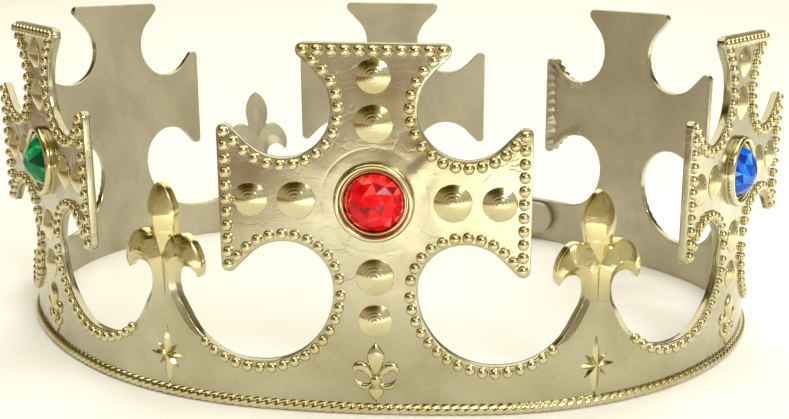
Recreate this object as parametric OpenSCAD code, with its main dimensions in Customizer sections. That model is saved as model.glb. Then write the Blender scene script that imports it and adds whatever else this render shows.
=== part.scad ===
// Costume crown: one long moulded strip, bent round into a ring and closed at the back.
// Six flared crosses and five lilies stand on a low band that has a roped bottom edge.
// Every cross carries a cut stone in a round setting, eight raised domes and a row of beads.
// The strip's length runs along its outer face, anticlockwise seen from above.

/* [Ring] */
// Length of the strip once round the head
ring_length = 600; // [596:0.5:604]
// Length of strip from one cross to the next
bay = 101.2; // [100:0.1:102]
// Thickness of the moulded strip
wall = 2; // [1.6:0.1:2.2]
// Degrees that each length of strip turns, from the back cross round by the left to the closure
bend = [20, 24, 49, 34, 24, 32, 13, 37, 35, 49, 12, 30]; // [5:1:60]
// Height of the band under the flat crosses and lilies
band_top = 25; // [24:0.5:26]

/* [Crosses] */
// Height of the middle of a cross above the bottom edge
cross_height = 49.2; // [48:0.1:51]
// Reach of each arm from the middle of its cross
arm_reach = 34; // [33:0.1:35]
// Half the width of an arm at its waist
arm_waist = 9.3; // [9:0.1:9.6]
// Radius of the round notch between two arms
notch_r = 10.7; // [10.3:0.1:11]
// Radius of an arm's rounded corners
tip_r = 1.7; // [1.5:0.1:1.8]

/* [Openings] */
// Radius of the round openings that leave a stem under each cross and lily
opening_r = 17.7; // [17.2:0.1:18]
// Half the width of a lily's stem at its narrowest
lily_stem = 4.2; // [3.8:0.1:5]

/* [Beads and domes] */
// Radius of a bead
bead_r = 1.3; // [1.1:0.05:1.35]
// Distance from one bead to the next
bead_pitch = 2.87; // [2.8:0.01:3.2]
// Radius of the four domes next to the stone
inner_dome_r = 4.2; // [3.8:0.1:4.3]
// Radius of the four domes near the ends of the arms
outer_dome_r = 3.8; // [3.4:0.1:3.8]
// Height of a dome
dome_h = 1.5; // [1:0.1:2]

/* [Stones] */
// Outer radius of a stone's setting
setting_r = 8.8; // [8.6:0.1:9]
// Height of the setting's rim above the cross
setting_h = 2; // [1.6:0.1:2.4]
// Radius of a stone at its widest
stone_r = 6.9; // [6.6:0.1:7]
// Height of a stone's point above the cross
stone_h = 5; // [4:0.1:6]

/* [Lilies, stars and rope] */
// Height of a lily's point above the bottom edge
lily_tip = 51; // [50:0.5:53]
// Distance of a side petal's point from the middle of its lily
petal_reach = 10; // [9.8:0.1:10.4]
// Height of the small reliefs on the band
relief_h = 0.9; // [0.6:0.1:1.2]
// Radius of the half-round rope along the bottom edge
rope_r = 1.3; // [1:0.1:1.5]

/* [Closure] */
// Height of the band where its two ends overlap
closure_h = 14.8; // [14:0.1:16]
// Length of the outer end beyond its hinge line
flap_length = 31; // [30:0.5:32]
// Length of the inner tongue beyond its hinge line
tongue_length = 38; // [37:0.5:39]
// Width of the inner tongue
tongue_width = 10.7; // [10:0.1:11]
// Radius of the two pegs on the outer end
peg_r = 1.6; // [1.4:0.1:1.8]
// Radius of the four peg holes in the tongue
hole_r = 2; // [1.9:0.1:2.2]
// Distance from one peg hole to the next
hole_pitch = 6; // [5.5:0.1:6.5]

/* [Hidden] */
$fn = 64;
ARCS = len(bend);
// The middle of each cross lies on an even arc, and each lily on an odd one
CROSSES = [["back", 0], ["back_left", 2], ["left", 4], ["front", 6], ["right", 8], ["back_right", 10]];
LILIES = [["left_rear", 1], ["left_side", 3], ["left_front", 5], ["right_front", 7], ["right_side", 9]];
STONE_COLOURS = ["firebrick", "royalblue", "seagreen", "firebrick", "royalblue", "seagreen"];
GOLD = [0.80, 0.76, 0.55];
PALE_GOLD = [0.88, 0.84, 0.63];

FRONT = 6;
BACK = 0;
BACK_RIGHT = 10;
CLOSURE = ARCS - 1;

half_bay = bay / 2;
notch_at = arm_waist + notch_r;
opening_z = cross_height - notch_at;
closure_opening_r = opening_z - closure_h;
seam_w = band_top - cross_height;
gap = 0.3;
bead_inset = tip_r;
corner_w = arm_reach - tip_r;
corner_u = corner_w - sqrt(2) * (notch_r + tip_r);
inner_dome_at = 17;
outer_dome_at = 27.1;
tongue_z = closure_h / 2 + 1.3;
closure_length = ring_length - (ARCS - 1) * half_bay;
tongue_slant = 17.5;
hinge_clearance = 0.02;
rope_clearance = 1.5;
peg_at = [14, 14 + 2 * hole_pitch];
leaf_r = 13.6;
leaf_half = 3.9;
curl_r = 5.6;
curl_z = 31.6;
curl_hollow_r = 3.1;
curl_shift = [1.2, -2.2];
curl_drop = 2.2;
stem_top = 34;
stem_flare = 0.5;
stem_taper = 0.7;
relief_z = 10;

// --- The ring's plan: a chain of arcs that run smoothly into each other ---

function total(list, n) = n <= 0 ? 0 : list[n - 1] + total(list, n - 1);
function heading(k) = total(bend, k) - total(bend, FRONT) - bend[FRONT] / 2;
function outward(angle) = [sin(angle), -cos(angle)];
function arc_length(k) = k == CLOSURE ? closure_length : half_bay;
function arc_r(k) = arc_length(k) * 180 / (PI * bend[k]);
function chain_centre(k) =
  k == 0 ? [0, 0] : chain_centre(k - 1) + (arc_r(k - 1) - arc_r(k)) * outward(heading(k));
function chain_station(k) = chain_centre(k) + arc_r(k) * outward(heading(k) + bend[k] / 2);
function mean(list) = [for (p = list) 1] * list / len(list);

ring_middle = mean([for (c = CROSSES) chain_station(c[1])]);

function arc_centre(k) = chain_centre(k) - ring_middle;
function turn_at(k, s) = heading(k) + bend[k] * s / arc_length(k);

// Places children on arc k at a distance s along its outer face: X runs along the strip,
// Y points into the ring and Z is up
module on_strip(k, s, z = 0) {
  point = arc_centre(k) + arc_r(k) * outward(turn_at(k, s));
  translate([point[0], point[1], z]) rotate([0, 0, turn_at(k, s)]) children();
}

// Places children at a distance s along the outer face from the middle of arc k, and also
// past its ends
module from_middle(k, s, z = 0) {
  along = s + half_bay / 2;
  if (along < 0)
    on_strip((k + ARCS - 1) % ARCS, arc_length((k + ARCS - 1) % ARCS) + along, z) children();
  else if (along > half_bay)
    on_strip(k + 1, along - half_bay, z) children();
  else
    on_strip(k, along, z) children();
}

// Stands a flat outline up on the strip's outer face, with the given height
module raise(h) {
  rotate([90, 0, 0]) linear_extrude(h) children();
}

// A stretch of wall on arc k between two distances along it
module wall_arc(k, height, from_s, to_s, inset = 0, z = 0) {
  r = arc_r(k) - inset;
  first = turn_at(k, from_s) - 90;
  sweep = bend[k] * (to_s - from_s) / arc_length(k);
  translate([arc_centre(k)[0], arc_centre(k)[1], z]) rotate([0, 0, first])
    rotate_extrude(angle = sweep) translate([r - wall, 0]) square([wall, height]);
}

// A cutter straight through the strip
module through_hole(r) {
  rotate([90, 0, 0]) cylinder(r = r, h = 12 * wall, center = true);
}

// --- The band ---

module cross_openings(k) {
  left_r = k == BACK ? closure_opening_r : opening_r;
  right_r = k == BACK_RIGHT ? closure_opening_r : opening_r;
  from_middle(k, -arm_waist - left_r, opening_z) through_hole(left_r);
  from_middle(k, arm_waist + right_r, opening_z) through_hole(right_r);
}

module lily_openings(k) {
  for (side = [-1, 1])
    from_middle(k, side * (lily_stem + opening_r), opening_z) through_hole(opening_r);
}

module band_under_cross(k) {
  color(GOLD) difference() {
    wall_arc(k, band_top, 0, half_bay);
    cross_openings(k);
    if (k != BACK) lily_openings(k - 1);
    if (k != BACK_RIGHT) lily_openings(k + 1);
  }
}

module band_under_lily(k) {
  color(GOLD) difference() {
    wall_arc(k, band_top, 0, half_bay);
    lily_openings(k);
    cross_openings(k - 1);
    cross_openings(k + 1);
  }
}

// --- The crosses ---

// The space between two arms: a round notch that opens out along two slanting sides
module notch() {
  reach = 2 * arm_reach;
  tangent = notch_r / sqrt(2);
  union() {
    translate([notch_at, notch_at]) circle(notch_r);
    polygon([
      [notch_at - tangent, notch_at + tangent],
      [notch_at + tangent, notch_at - tangent],
      [notch_at + tangent + reach, notch_at - tangent + reach],
      [notch_at - tangent + reach, notch_at + tangent + reach]
    ]);
  }
}

// A flared cross with round corners, cut off where its stem meets the band
module cross_outline() {
  intersection() {
    difference() {
      union() {
        square([2 * arm_reach, 2 * corner_u], center = true);
        square([2 * corner_u, 2 * arm_reach], center = true);
        square(2 * corner_w, center = true);
        for (a = [0:90:270]) rotate(a) for (side = [-1, 1])
          translate([side * corner_u, corner_w]) circle(tip_r);
      }
      for (a = [0:90:270]) rotate(a) notch();
    }
    translate([-arm_reach, seam_w]) square([2 * arm_reach, arm_reach - seam_w]);
  }
}

module on_cross(k) {
  from_middle(k, 0, cross_height) children();
}

module cross_plate(k) {
  color(GOLD) on_cross(k) translate([0, wall, 0]) raise(wall) cross_outline();
}

// --- Beads ---

module bead() {
  rotate([90, 0, 0]) rotate_extrude() intersection() {
    circle(bead_r);
    square(bead_r);
  }
}

bead_path_r = notch_r + bead_inset;
bead_line = sqrt(2) * (corner_w - notch_at - bead_path_r / sqrt(2));
half_notch_length = bead_line + bead_path_r * PI / 2;

// A point on the row of beads from an arm's corner to the middle of the notch beside it
function bead_point(s) =
  s < bead_line
    ? [corner_u - s / sqrt(2), corner_w - s / sqrt(2)]
    : let (a = 135 + (s - bead_line) * 180 / (PI * bead_path_r))
      [notch_at + bead_path_r * cos(a), notch_at + bead_path_r * sin(a)];

end_beads = round(2 * corner_u / bead_pitch);
notch_beads = round(2 * half_notch_length / bead_pitch);
notch_step = 2 * half_notch_length / notch_beads;
stem_arc = bead_path_r * PI / 4;

module bead_at(p) {
  translate([p[0], 0, p[1]]) bead();
}

module notch_bead_row(last) {
  for (i = [1:last]) bead_at(bead_point(i * notch_step));
}

module cross_beads(k) {
  upper = notch_beads - 1;
  lower = floor((2 * half_notch_length - bead_line - stem_arc) / notch_step);
  color(PALE_GOLD) on_cross(k) {
    for (a = [-90:90:90]) rotate([0, a, 0]) for (i = [0:end_beads])
      bead_at([corner_u * (2 * i / end_beads - 1), corner_w]);
    for (side = [0, 1]) mirror([side, 0, 0]) {
      notch_bead_row(upper);
      rotate([0, 90, 0]) notch_bead_row(lower);
    }
  }
}

// The row on the band from a cross's waist round the bottom of an opening towards a lily
module band_bead_row(k, side) {
  at_closure = (k == BACK && side < 0) || (k == BACK_RIGHT && side > 0);
  r = (at_closure ? closure_opening_r : opening_r) + bead_inset;
  last = at_closure ? 90 : 138;
  step = bead_pitch * 180 / (PI * r);
  for (a = [step / 2:step:last]) {
    s = side * (arm_waist - bead_inset + r * (1 - cos(a)));
    z = opening_z - r * sin(a);
    // The highest beads reach up to the cross, so they stand on its flat face
    if (z + bead_r > band_top) on_cross(k) bead_at([s, z - cross_height]);
    else from_middle(k, s, z) bead();
  }
}

module band_beads() {
  color(PALE_GOLD) for (c = CROSSES) for (side = [-1, 1]) band_bead_row(c[1], side);
}

// --- Domes, settings and stones ---

module dome(r) {
  cap_r = (r * r + dome_h * dome_h) / (2 * dome_h);
  rotate([90, 0, 0]) rotate_extrude() intersection() {
    translate([0, dome_h - cap_r]) circle(cap_r);
    square(r);
  }
}

module cross_domes(k) {
  color(PALE_GOLD) on_cross(k) for (a = [0:90:270]) rotate([0, a, 0]) {
    translate([0, 0, inner_dome_at]) dome(inner_dome_r);
    translate([0, 0, outer_dome_at]) dome(outer_dome_r);
  }
}

module setting(k) {
  lip = (setting_r - stone_r - gap) / 2;
  color(PALE_GOLD) on_cross(k) rotate([90, 0, 0]) rotate_extrude() {
    translate([setting_r - 2 * lip, 0]) square([2 * lip, setting_h - lip]);
    translate([setting_r - lip, setting_h - lip]) circle(lip);
  }
}

module stone(index, k) {
  girdle = 1.2;
  table = 0.45 * stone_r;
  shoulder = girdle + 0.7 * (stone_h - girdle);
  color(STONE_COLOURS[index]) on_cross(k) rotate([90, 0, 0]) {
    cylinder(r = stone_r, h = girdle);
    translate([0, 0, girdle]) cylinder(r1 = stone_r, r2 = table, h = shoulder - girdle);
    translate([0, 0, shoulder]) cylinder(r1 = table, r2 = 0.4, h = stone_h - shoulder);
  }
}

// --- Lilies ---

// The pointed middle leaf: where two circles overlap
module leaf() {
  middle = lily_tip - sqrt(leaf_r * leaf_r - pow(leaf_r - leaf_half, 2));
  translate([0, middle]) intersection() {
    translate([leaf_r - leaf_half, 0]) circle(leaf_r);
    translate([leaf_half - leaf_r, 0]) circle(leaf_r);
  }
}

// A side petal: a round curl with a smaller circle cut out of its lower side
module petal() {
  middle = [petal_reach - curl_r, curl_z];
  difference() {
    translate(middle) circle(curl_r);
    translate(middle + curl_shift) circle(curl_hollow_r);
    translate([middle[0] - curl_r, middle[1] - 2 * curl_r]) square([2 * curl_r, 2 * curl_r - curl_drop]);
  }
}

module lily_outline() {
  leaf();
  polygon([
    [-lily_stem - stem_flare, band_top],
    [lily_stem + stem_flare, band_top],
    [lily_stem, opening_z],
    [stem_taper * lily_stem, stem_top],
    [-stem_taper * lily_stem, stem_top],
    [-lily_stem, opening_z]
  ]);
  for (side = [0, 1]) mirror([side, 0]) petal();
}

module lily(k) {
  color(GOLD) from_middle(k, 0) translate([0, wall, 0]) raise(wall) lily_outline();
}

// --- Reliefs on the band ---

// A relief on arc k, whose back is trimmed to follow the curved wall
module relief(k, half_width) {
  sunk = half_width / 4;
  color(PALE_GOLD) difference() {
    from_middle(k, 0) translate([0, sunk, 0]) raise(relief_h + sunk) children();
    translate([arc_centre(k)[0], arc_centre(k)[1], 0]) cylinder(r = arc_r(k), h = band_top, $fn = 720);
  }
}

module star_outline() {
  reach = [7, 2.6, 4.8, 2.6, 7.6, 2.6, 4.8, 2.6];
  valley = 1.5;
  translate([0, relief_z]) polygon([
    for (i = [0:7]) each [
      reach[i] * [sin(45 * i), cos(45 * i)],
      valley * [sin(45 * i + 22.5), cos(45 * i + 22.5)]
    ]
  ]);
}

module stars() {
  for (l = LILIES) relief(l[1], 4.8) star_outline();
}

// A small lily with a leaf and two petals, and the same again upside down
module foot_lily_outline() {
  for (flip = [0, 1]) translate([0, relief_z]) mirror([0, flip]) {
    intersection() {
      translate([4.6, 3]) circle(6.4);
      translate([-4.6, 3]) circle(6.4);
      translate([-3, 0]) square([6, 8]);
    }
    for (side = [0, 1]) mirror([side, 0]) intersection() {
      difference() {
        translate([2.7, 0.9]) circle(2.6);
        translate([3.4, 0.6]) circle(1.2);
      }
      square(6);
    }
  }
}

module foot_lilies() {
  for (c = CROSSES) relief(c[1], 5.3) foot_lily_outline();
}

// A half-round ridge along the bottom of the outer face
module rope_arc(k, from_s, to_s) {
  first = turn_at(k, from_s) - 90;
  sweep = bend[k] * (to_s - from_s) / arc_length(k);
  translate([arc_centre(k)[0], arc_centre(k)[1], 0]) rotate([0, 0, first])
    rotate_extrude(angle = sweep) translate([arc_r(k), rope_r]) intersection() {
      circle(rope_r);
      translate([0, -rope_r]) square([rope_r, 2 * rope_r]);
    }
}

module rope_edge() {
  color(PALE_GOLD) for (k = [0:ARCS - 2]) rope_arc(k, 0, half_bay);
}

// --- The closure at the back: the outer end lies over the inner tongue ---

module closure_flap() {
  color(GOLD) wall_arc(CLOSURE, closure_h, hinge_clearance, flap_length);
}

module flap_rope() {
  color(PALE_GOLD) rope_arc(CLOSURE, rope_clearance, flap_length);
}

module flap_pegs() {
  peg_length = 2 * wall;
  color(GOLD) for (s = peg_at) on_strip(CLOSURE, s, tongue_z) translate([0, wall, 0])
    rotate([-90, 0, 0]) cylinder(r = peg_r, h = peg_length);
}

// The tongue is flat, because a free end isn't bent, and lies inside the outer end
module closure_tongue() {
  straight = tongue_length - tongue_width / 2;
  color(GOLD) difference() {
    on_strip(CLOSURE, closure_length, tongue_z) translate([0, wall, 0]) rotate([0, 0, -tongue_slant])
      raise(wall) {
        translate([-straight, 0]) circle(tongue_width / 2);
        translate([-straight, -tongue_width / 2]) square([straight - hinge_clearance, tongue_width]);
      }
    for (i = [0:3]) on_strip(CLOSURE, peg_at[0] + i * hole_pitch, tongue_z) through_hole(hole_r);
  }
}

for (c = CROSSES) cross_plate(c[1]);
for (c = CROSSES) setting(c[1]);
for (i = [0:5]) stone(i, CROSSES[i][1]);
for (c = CROSSES) cross_domes(c[1]);
for (c = CROSSES) cross_beads(c[1]);
for (c = CROSSES) band_under_cross(c[1]);
for (l = LILIES) band_under_lily(l[1]);
for (l = LILIES) lily(l[1]);
band_beads();
foot_lilies();
stars();
rope_edge();
closure_flap();
flap_rope();
flap_pegs();
closure_tongue();
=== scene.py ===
"""The looks of the costume crown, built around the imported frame.

Most pieces are laid out flat first, in millimetres: s along the strip's outer face, v up from its
bottom edge and h out of its outer face. lay() then bends them round the ring as part.scad does.
"""
import math

import bmesh
import bpy
import numpy as np
from mathutils import Matrix, Vector
from mathutils.geometry import delaunay_2d_cdt
from mathutils.kdtree import KDTree


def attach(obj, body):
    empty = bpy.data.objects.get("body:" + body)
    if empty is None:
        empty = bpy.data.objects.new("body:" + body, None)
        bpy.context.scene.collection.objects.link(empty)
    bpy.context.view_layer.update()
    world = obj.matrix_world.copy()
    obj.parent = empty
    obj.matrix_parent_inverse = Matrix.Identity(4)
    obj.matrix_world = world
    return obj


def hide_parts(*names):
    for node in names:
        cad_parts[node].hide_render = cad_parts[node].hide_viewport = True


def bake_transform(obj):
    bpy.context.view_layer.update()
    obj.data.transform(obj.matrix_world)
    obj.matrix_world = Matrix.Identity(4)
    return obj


MM = 0.001
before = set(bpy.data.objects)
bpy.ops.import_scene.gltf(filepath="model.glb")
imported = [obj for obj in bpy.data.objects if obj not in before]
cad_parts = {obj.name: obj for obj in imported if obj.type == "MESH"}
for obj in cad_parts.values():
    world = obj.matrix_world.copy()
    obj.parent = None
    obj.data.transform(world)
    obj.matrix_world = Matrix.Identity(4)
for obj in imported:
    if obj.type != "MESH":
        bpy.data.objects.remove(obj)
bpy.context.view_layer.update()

# --- Sizes shared with part.scad, in millimetres and degrees ---

RING_LENGTH = 600.0
HALF_BAY = 50.6
WALL = 2.0
BEND = (20, 24, 49, 34, 24, 32, 13, 37, 35, 49, 12, 30)
ARCS = len(BEND)
CLOSURE = ARCS - 1
FRONT = 6
CROSSES = {"back": 0, "back_left": 2, "left": 4, "front": 6, "right": 8, "back_right": 10}
LILIES = {"left_rear": 1, "left_side": 3, "left_front": 5, "right_front": 7, "right_side": 9}
CROSS_HEIGHT = 49.2
ARM_REACH = 34.0
ARM_WAIST = 9.3
NOTCH_R = 10.7
NOTCH_AT = ARM_WAIST + NOTCH_R
TIP_R = 1.7
CORNER_W = ARM_REACH - TIP_R
CORNER_U = CORNER_W - math.sqrt(2) * (NOTCH_R + TIP_R)
OPENING_R = 17.7
OPENING_V = CROSS_HEIGHT - NOTCH_AT
CLOSURE_H = 14.8
CLOSURE_OPENING_R = OPENING_V - CLOSURE_H
LILY_STEM = 4.2
SPLIT_V = 25.0
BEAD_R = 1.3
BEAD_PITCH = 2.87
DOMES = ((17.0, 4.2), (27.1, 3.8))
DOME_H = 1.5
ROPE_R = 1.3
FLAP_LENGTH = 31.0
FLAP_CORNER = 4.0
FLAP_FOOT_R = 1.6
TONGUE_V = 8.7
PEG_AT = (14.0, 26.0)
# The strip runs a little past the tongue's hinge line, to narrow the gap between them
STRIP_START = -0.55
FLAP_SEAM = CLOSURE * HALF_BAY - 6.0
FLAP_END = CLOSURE * HALF_BAY + FLAP_LENGTH
PAST_SEAM = FLAP_SEAM + 0.01
BAY_LINES = np.append(np.arange(1, CLOSURE) * HALF_BAY, FLAP_SEAM)
# The openings beside the closure, as a cross's arc and its side, are smaller than the others
CLOSURE_SIDES = ((0, -1), (CLOSURE - 1, 1))
# The crosses and lilies leave the bent band between these heights, and are flat above them
BENT_BELOW, FLAT_ABOVE = 14.0, 30.0
# The arms reach over the neighbouring bays only above this height
OVERHANG_V = 27.0
TOP_V = CROSS_HEIGHT + ARM_REACH
# The part of a lily that has creases and a finer mesh
LILY_REACH = 11.0
LILY_FROM = 13.5

# --- The ring's plan ---


def outward(angle):
    a = np.radians(angle)
    return np.stack([np.sin(a), -np.cos(a)], -1)


ARC_LENGTH = np.array([HALF_BAY] * CLOSURE + [RING_LENGTH - CLOSURE * HALF_BAY])
ARC_BEND = np.array(BEND, float)
ARC_R = ARC_LENGTH * 180 / (math.pi * ARC_BEND)
HEADING = np.concatenate([[0], np.cumsum(ARC_BEND)[:-1]])
HEADING = HEADING - HEADING[FRONT] - ARC_BEND[FRONT] / 2
CENTRE = [np.zeros(2)]
for arc in range(1, ARCS):
    CENTRE.append(CENTRE[-1] + (ARC_R[arc - 1] - ARC_R[arc]) * outward(HEADING[arc]))
CENTRE = np.array(CENTRE)
MIDDLE_HEADING = HEADING + ARC_BEND / 2
STATION = CENTRE + ARC_R[:, None] * outward(MIDDLE_HEADING)
RING_MIDDLE = STATION[list(CROSSES.values())].mean(0)
CENTRE, STATION = CENTRE - RING_MIDDLE, STATION - RING_MIDDLE


def station_s(arc):
    return (arc + 0.5) * HALF_BAY


def arc_of(s):
    return np.clip((np.asarray(s, float) // HALF_BAY).astype(int), 0, CLOSURE)


def smooth(t):
    t = np.clip(t, 0, 1)
    return t * t * (3 - 2 * t)


def lay(owner, s, v, h):
    """Model points in metres for flat ones. Low down they follow the bent band, and above it the
    flat plate of the cross or lily that owns them."""
    owner = np.asarray(owner, int)
    s, v, h = (np.asarray(a, float) for a in (s, v, h))
    k = arc_of(s)
    turn = HEADING[k] + ARC_BEND[k] * (s - k * HALF_BAY) / ARC_LENGTH[k]
    bent = CENTRE[k] + (ARC_R[k] + h)[:, None] * outward(turn)
    facing = outward(MIDDLE_HEADING[owner])
    along = np.stack([-facing[:, 1], facing[:, 0]], -1)
    flat = STATION[owner] + (s - station_s(owner))[:, None] * along + h[:, None] * facing
    w = smooth((v - BENT_BELOW) / (FLAT_ABOVE - BENT_BELOW))[:, None] * (owner != CLOSURE)[:, None]
    xy = bent * (1 - w) + flat * w
    return np.column_stack([xy, v]) * MM


# --- The strip's outline ---


def circle_run(cx, cv, r, a0, a1, step):
    n = max(2, int(round(abs(a1 - a0) * math.pi / 180 * r / step)) + 1)
    a = np.radians(np.linspace(a0, a1, n))
    return np.column_stack([cx + r * np.cos(a), cv + r * np.sin(a)])


def straight_run(p, q, step):
    n = max(2, int(round(math.dist(p, q) / step)) + 1)
    t = np.linspace(0, 1, n)[:, None]
    return np.array(p) * (1 - t) + np.array(q) * t


def spline_run(points, step):
    """A smooth curve through the points, which keeps each of them."""
    p = np.array(points, float)
    ends = np.vstack([2 * p[0] - p[1], p, 2 * p[-1] - p[-2]])
    out = [p[:1]]
    for i in range(len(p) - 1):
        a, b, c, d = ends[i : i + 4]
        n = max(1, int(round(math.dist(b, c) / step)))
        t = np.linspace(0, 1, n + 1)[1:, None]
        out.append(
            0.5
            * (2 * b + (c - a) * t + (2 * a - 5 * b + 4 * c - d) * t**2 + (3 * b - a - 3 * c + d) * t**3)
        )
    return np.vstack(out)


FINE, MEDIUM, COARSE = 0.32, 0.45, 0.75

# The left half of a cross from its waist on the band, over the arm, to the top's middle
CROSS_LEFT = [
    circle_run(-NOTCH_AT, -NOTCH_AT, NOTCH_R, 0, 135, COARSE),
    circle_run(-CORNER_W, -CORNER_U, TIP_R, -45, -180, FINE),
    straight_run((-ARM_REACH, -CORNER_U), (-ARM_REACH, CORNER_U), COARSE),
    circle_run(-CORNER_W, CORNER_U, TIP_R, 180, 45, FINE),
    circle_run(-NOTCH_AT, NOTCH_AT, NOTCH_R, 225, 405, COARSE),
    circle_run(-CORNER_U, CORNER_W, TIP_R, 225, 90, FINE),
    straight_run((-CORNER_U, ARM_REACH), (0, ARM_REACH), COARSE),
]

# The left half of a lily, from its stem to its point, and the corners that its curves share
PETAL_TIP, NOTCH, LEAF_TIP, CROTCH = (-9.9, 29.95), (-3.1, 38.75), (0, 51.0), (0, 34.2)
STEM_AT_SPLIT = 3.97
PETAL_LOW = [
    (-6.72, 20.2), (-5.5, 22.3), (-4.55, 23.9), (-STEM_AT_SPLIT, SPLIT_V), (-3.55, 26.6), (-3.42, 28.4),
    (-3.75, 30.1), (-4.7, 31.4), (-6.1, 32.0), (-7.6, 31.9), (-8.9, 31.1), PETAL_TIP,
]
PETAL_HIGH = [
    PETAL_TIP, (-10.5, 30.8), (-10.75, 32.2), (-10.65, 33.8), (-10.15, 35.5), (-9.3, 37.1),
    (-8.1, 38.5), (-6.8, 39.35), (-5.5, 39.6), (-4.2, 39.3), NOTCH,
]
LEAF_SIDE = [
    NOTCH, (-3.35, 40.2), (-3.75, 42.0), (-3.9, 43.8), (-3.7, 45.6), (-3.1, 47.4),
    (-2.2, 49.1), (-1.1, 50.35), LEAF_TIP,
]
LILY_LEFT = [spline_run(curve, MEDIUM) for curve in (PETAL_LOW, PETAL_HIGH, LEAF_SIDE)]

# The creases on a lily's face, and their heights
CREASE_STEP = 0.5
VALLEY_H = 0.35
LEAF_FOOT = [NOTCH, (-2.3, 37.9), (-1.6, 36.9), (-1.0, 35.8), (-0.5, 34.9), CROTCH]
LEAF_RIDGE = [LEAF_TIP, (0, 48.5), (0, 46), (0, 43.5), (0, 41), (0, 38.5), (0, 36.4), CROTCH]
LEAF_RIDGE_H = [0.15, 1.25, 2.1, 2.5, 2.3, 1.8, 1.2, 0.5]
PETAL_RIDGE = [
    PETAL_TIP, (-9.5, 32.2), (-8.2, 33.8), (-6.7, 34.65), (-5.1, 34.75), (-3.7, 34.0),
    (-2.75, 32.7), (-2.3, 31.1), (-2.2, 29.2), (-2.3, 27.1), (-2.75, 25.0), (-3.7, 22.9), (-4.7, 20.9),
    (-5.9, 18.9), (-7.4, 17.1), (-9.1, 15.6), (-10.8, 14.5),
]
PETAL_RIDGE_H = [
    0.1, 0.95, 1.6, 1.95, 2.0, 1.85, 1.6, 1.35, 1.2, 1.1, 1.0, 0.95, 0.85, 0.7, 0.5, 0.25, 0.03,
]
MID_CREASE = [CROTCH, (0, 32), (0, 29.5), (0, 27), (0, SPLIT_V), (0, 22.5), (0, 20)]
MID_CREASE_H = [0.45, 0.35, 0.25, 0.2, 0.15, 0.08, 0.0]
# The petal's ridge from its lowest point up the stem
RIDGE_DOWN = np.array(PETAL_RIDGE[7:])[::-1]
# The edge that a petal's lower side and its stem share with the opening
STEM_CURVE = circle_run(-LILY_STEM - OPENING_R, OPENING_V, OPENING_R, -75, -30.6, 1.0)
PETAL_FOOT = np.vstack([STEM_CURVE, PETAL_LOW])

outline, outline_owner = [], []


def add_run(points, owner=None):
    for p in points:
        if outline and math.dist(outline[-1], p) < 0.02:
            continue
        outline.append((float(p[0]), float(p[1])))
        outline_owner.append(int(arc_of(p[0])) if owner is None else owner)


def mirrored(run):
    return (np.array(run) * [-1, 1])[::-1]


def opening_side(cx, r, a0, a1):
    """A quarter of an opening, with a point exactly where the band ends."""
    split = math.degrees(math.asin((SPLIT_V - OPENING_V) / r))
    split = split % 360 if a1 > 270 else 180 - split
    return np.vstack([circle_run(cx, OPENING_V, r, *ends, COARSE) for ends in ((a0, split), (split, a1))])


def to_bay_lines(run):
    """Moves the point nearest to a line between two bays onto it."""
    run = np.array(run)
    for line in BAY_LINES:
        if run[:, 0].min() < line < run[:, 0].max():
            run[np.argmin(abs(run[:, 0] - line)), 0] = line
    return run


def add_cross(arc):
    """A cross, and the opening's side between it and the next lily."""
    middle = station_s(arc)
    left_half = np.vstack(CROSS_LEFT)
    for run in (left_half, mirrored(left_half)):
        add_run(run + [middle, CROSS_HEIGHT], arc)
    if arc < CLOSURE - 1:
        add_run(to_bay_lines(opening_side(middle + ARM_WAIST + OPENING_R, OPENING_R, 180, 270)))


def add_lily(arc):
    """A lily, and the sides of the openings up to it and on to the next cross."""
    middle = station_s(arc)
    low = math.degrees(math.asin((PETAL_LOW[0][1] - OPENING_V) / OPENING_R))
    left, right = middle - LILY_STEM - OPENING_R, middle + LILY_STEM + OPENING_R
    add_run(to_bay_lines(circle_run(left, OPENING_V, OPENING_R, 270, 360 + low, COARSE)))
    left_half = np.vstack(LILY_LEFT)
    for run in (left_half, mirrored(left_half)):
        add_run(run + [middle, 0], arc)
    add_run(to_bay_lines(circle_run(right, OPENING_V, OPENING_R, 180 - low, 270, COARSE)))
    next_opening = station_s(arc + 1) - ARM_WAIST - OPENING_R
    add_run(to_bay_lines(opening_side(next_opening, OPENING_R, 270, 360)))


# The top edge, left to right, then round the flap's end and back along the bottom
closure_left = station_s(0) - ARM_WAIST - CLOSURE_OPENING_R
first = math.degrees(math.acos((STRIP_START - closure_left) / CLOSURE_OPENING_R))
add_run(opening_side(closure_left, CLOSURE_OPENING_R, 360 - first, 360))
for arc in range(CLOSURE):
    if arc % 2 == 0:
        add_cross(arc)
    else:
        add_lily(arc)
closure_right = station_s(CLOSURE - 1) + ARM_WAIST + CLOSURE_OPENING_R
add_run(to_bay_lines(opening_side(closure_right, CLOSURE_OPENING_R, 180, 270)))
add_run(to_bay_lines(straight_run((closure_right, CLOSURE_H), (FLAP_END - FLAP_CORNER, CLOSURE_H), COARSE)))
add_run(circle_run(FLAP_END - FLAP_CORNER, CLOSURE_H - FLAP_CORNER, FLAP_CORNER, 90, 0, MEDIUM))
add_run(straight_run((FLAP_END, CLOSURE_H - FLAP_CORNER), (FLAP_END, FLAP_FOOT_R), COARSE))
add_run(circle_run(FLAP_END - FLAP_FOOT_R, FLAP_FOOT_R, FLAP_FOOT_R, 0, -90, MEDIUM))
add_run(to_bay_lines(straight_run((FLAP_END - FLAP_FOOT_R, 0), (STRIP_START, 0), 0.7)))
add_run(straight_run((STRIP_START, 0), (STRIP_START, outline[0][1]), COARSE)[:-1])

OUT = np.array(outline)[::-1].copy()
OWNER = np.array(outline_owner)[::-1].copy()
OWNER[OUT[:, 0] > PAST_SEAM] = CLOSURE
RIM_COUNT = len(OUT)

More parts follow.
